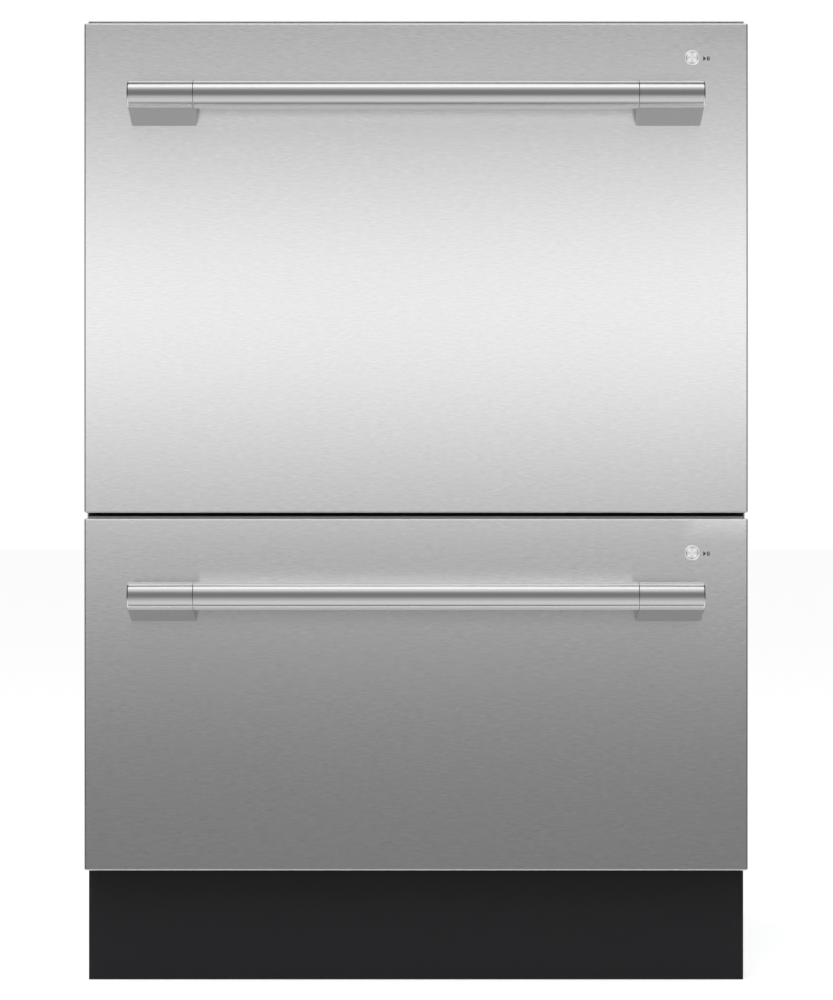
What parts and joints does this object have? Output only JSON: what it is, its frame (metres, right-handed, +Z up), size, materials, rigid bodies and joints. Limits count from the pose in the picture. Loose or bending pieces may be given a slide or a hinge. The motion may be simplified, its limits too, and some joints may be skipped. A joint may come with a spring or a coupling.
{
  "type": "dishwasher drawer",
  "caption": "Double dishwasher drawer: a tall and a low steel-fronted wash drawer with round bar handles on telescopic slides, in one chassis over a black kick panel.",
  "frame": {"origin": "on the floor under the middle of the overall box", "axes": "fronts face -Y, +X is the user's right, +Z is up"},
  "size_m": [0.599, 0.6315, 0.8706],
  "materials": {
    "brushed_front": "horizontally brushed stainless steel",
    "handle": "satin polished",
    "button_steel": "spun",
    "liner": "satin grey",
    "slide_steel": "zinc plated",
    "chassis_steel": "galvanised sheet",
    "kick_paint": "satin black powder coat",
    "tub_plastic": "moulded polypropylene",
    "pump_plastic": "moulded",
    "grey_plastic": "moulded",
    "housing": "moulded",
    "filter_steel": "perforated stainless sheet",
    "coated_wire": "nylon coated wire",
    "seal_rubber": "moulded rubber",
    "foot_rubber": "moulded pad on a screw"
  },
  "bodies": {
    "chassis": {"side_panel_left": "chassis_steel", "side_panel_right": "chassis_steel", "rear_panel": "chassis_steel", "top_panel": "chassis_steel", "base_tray": "chassis_steel", "cross_rail": "kick_paint", "kick_panel": "kick_paint", "water_inlet_valve": "tub_plastic", "drain_connector": "grey_plastic", "mains_box": "pump_plastic", "upper_rails": "slide_steel", "upper_lid_lifters": "housing", "lower_rails": "slide_steel", "lower_lid_lifters": "housing"},
    "foot_front_left_body": {"foot_front_left": "foot_rubber"},
    "foot_front_right_body": {"foot_front_right": "foot_rubber"},
    "foot_rear_left_body": {"foot_rear_left": "foot_rubber"},
    "foot_rear_right_body": {"foot_rear_right": "foot_rubber"},
    "upper_drawer": {"upper_drawer_slides": "slide_steel", "upper_front_skin": "brushed_front", "upper_front_liner": "liner", "upper_handle_bar": "handle", "upper_handle_brackets": "handle", "upper_button_ring": "button_steel", "upper_tub": "tub_plastic", "upper_wash_pump": "pump_plastic", "upper_filter_plate": "filter_steel", "upper_rack": "coated_wire", "upper_cutlery_basket": "grey_plastic", "upper_dispenser": "grey_plastic"},
    "upper_slide_members": {"upper_middle_slides": "slide_steel"},
    "upper_lid_body": {"upper_lid": "tub_plastic", "upper_lid_seal": "seal_rubber"},
    "upper_push_button": {"upper_button": "button_steel"},
    "upper_arm": {"upper_spray_arm": "grey_plastic"},
    "upper_left_tine_row": {"upper_tines_left": "coated_wire"},
    "upper_right_tine_row": {"upper_tines_right": "coated_wire"},
    "upper_cup_shelf": {"upper_cup_rack": "coated_wire"},
    "upper_flap": {"upper_dispenser_flap": "tub_plastic"},
    "lower_drawer": {"lower_drawer_slides": "slide_steel", "lower_front_skin": "brushed_front", "lower_front_liner": "liner", "lower_handle_bar": "handle", "lower_handle_brackets": "handle", "lower_button_ring": "button_steel", "lower_tub": "tub_plastic", "lower_wash_pump": "pump_plastic", "lower_filter_plate": "filter_steel", "lower_rack": "coated_wire", "lower_cutlery_basket": "grey_plastic", "lower_dispenser": "grey_plastic"},
    "lower_slide_members": {"lower_middle_slides": "slide_steel"},
    "lower_lid_body": {"lower_lid": "tub_plastic", "lower_lid_seal": "seal_rubber"},
    "lower_push_button": {"lower_button": "button_steel"},
    "lower_arm": {"lower_spray_arm": "grey_plastic"},
    "lower_left_tine_row": {"lower_tines_left": "coated_wire"},
    "lower_right_tine_row": {"lower_tines_right": "coated_wire"},
    "lower_cup_shelf": {"lower_cup_rack": "coated_wire"},
    "lower_flap": {"lower_dispenser_flap": "tub_plastic"}
  },
  "joints": [
    {"name": "foot_front_left_screw", "type": "slide", "parent": "chassis", "child": "foot_front_left_body", "axis": [0, 0, -1], "range_m": [0, 0.04]},
    {"name": "foot_front_right_screw", "type": "slide", "parent": "chassis", "child": "foot_front_right_body", "axis": [0, 0, -1], "range_m": [0, 0.04]},
    {"name": "foot_rear_left_screw", "type": "slide", "parent": "chassis", "child": "foot_rear_left_body", "axis": [0, 0, -1], "range_m": [0, 0.04]},
    {"name": "foot_rear_right_screw", "type": "slide", "parent": "chassis", "child": "foot_rear_right_body", "axis": [0, 0, -1], "range_m": [0, 0.04]},
    {"name": "upper_drawer_slide", "type": "slide", "parent": "chassis", "child": "upper_drawer", "axis": [0, -1, 0], "range_m": [0, 0.48]},
    {"name": "upper_middle_slide", "type": "slide", "parent": "chassis", "child": "upper_slide_members", "axis": [0, -1, 0], "range_m": [0, 0.24]},
    {"name": "upper_lid_lift", "type": "slide", "parent": "chassis", "child": "upper_lid_body", "axis": [0, 0, -1], "range_m": [0, 0.0077]},
    {"name": "upper_button_press", "type": "slide", "parent": "upper_drawer", "child": "upper_push_button", "axis": [0, 1, 0], "range_m": [0, 0.0015], "stiffness_N_per_m": 500, "springref_m": -0.0005},
    {"name": "upper_arm_spin", "type": "hinge", "parent": "upper_drawer", "child": "upper_arm", "pos_m": [0, 0.00875, 0.481], "axis": [0, 0, 1], "continuous": true},
    {"name": "upper_left_tines_fold", "type": "hinge", "parent": "upper_drawer", "child": "upper_left_tine_row", "pos_m": [-0.06, 0.00875, 0.5143], "axis": [0, -1, 0], "range_deg": [0, 82]},
    {"name": "upper_right_tines_fold", "type": "hinge", "parent": "upper_drawer", "child": "upper_right_tine_row", "pos_m": [0.06, 0.00875, 0.5143], "axis": [0, -1, 0], "range_deg": [0, 82]},
    {"name": "upper_cup_rack_fold", "type": "hinge", "parent": "upper_drawer", "child": "upper_cup_shelf", "pos_m": [-0.2202, 0.00875, 0.661], "axis": [0, -1, 0], "range_deg": [0, 85]},
    {"name": "upper_flap_swing", "type": "hinge", "parent": "upper_drawer", "child": "upper_flap", "pos_m": [0, -0.2147, 0.814], "axis": [1, 0, 0], "range_deg": [0, 85]},
    {"name": "lower_drawer_slide", "type": "slide", "parent": "chassis", "child": "lower_drawer", "axis": [0, -1, 0], "range_m": [0, 0.48]},
    {"name": "lower_middle_slide", "type": "slide", "parent": "chassis", "child": "lower_slide_members", "axis": [0, -1, 0], "range_m": [0, 0.24]},
    {"name": "lower_lid_lift", "type": "slide", "parent": "chassis", "child": "lower_lid_body", "axis": [0, 0, -1], "range_m": [0, 0.0077]},
    {"name": "lower_button_press", "type": "slide", "parent": "lower_drawer", "child": "lower_push_button", "axis": [0, 1, 0], "range_m": [0, 0.0015], "stiffness_N_per_m": 500, "springref_m": -0.0005},
    {"name": "lower_arm_spin", "type": "hinge", "parent": "lower_drawer", "child": "lower_arm", "pos_m": [0, 0.00875, 0.158], "axis": [0, 0, 1], "continuous": true},
    {"name": "lower_left_tines_fold", "type": "hinge", "parent": "lower_drawer", "child": "lower_left_tine_row", "pos_m": [-0.06, 0.00875, 0.1913], "axis": [0, -1, 0], "range_deg": [0, 82]},
    {"name": "lower_right_tines_fold", "type": "hinge", "parent": "lower_drawer", "child": "lower_right_tine_row", "pos_m": [0.06, 0.00875, 0.1913], "axis": [0, -1, 0], "range_deg": [0, 82]},
    {"name": "lower_cup_rack_fold", "type": "hinge", "parent": "lower_drawer", "child": "lower_cup_shelf", "pos_m": [-0.2202, 0.00875, 0.28], "axis": [0, -1, 0], "range_deg": [0, 85]},
    {"name": "lower_flap_swing", "type": "hinge", "parent": "lower_drawer", "child": "lower_flap", "pos_m": [0, -0.2147, 0.367], "axis": [1, 0, 0], "range_deg": [0, 85]}
  ],
  "couplings": [
    {"joint": "upper_middle_slide", "follows": "upper_drawer_slide", "ratio": 0.5},
    {"joint": "lower_middle_slide", "follows": "lower_drawer_slide", "ratio": 0.5}
  ]
}
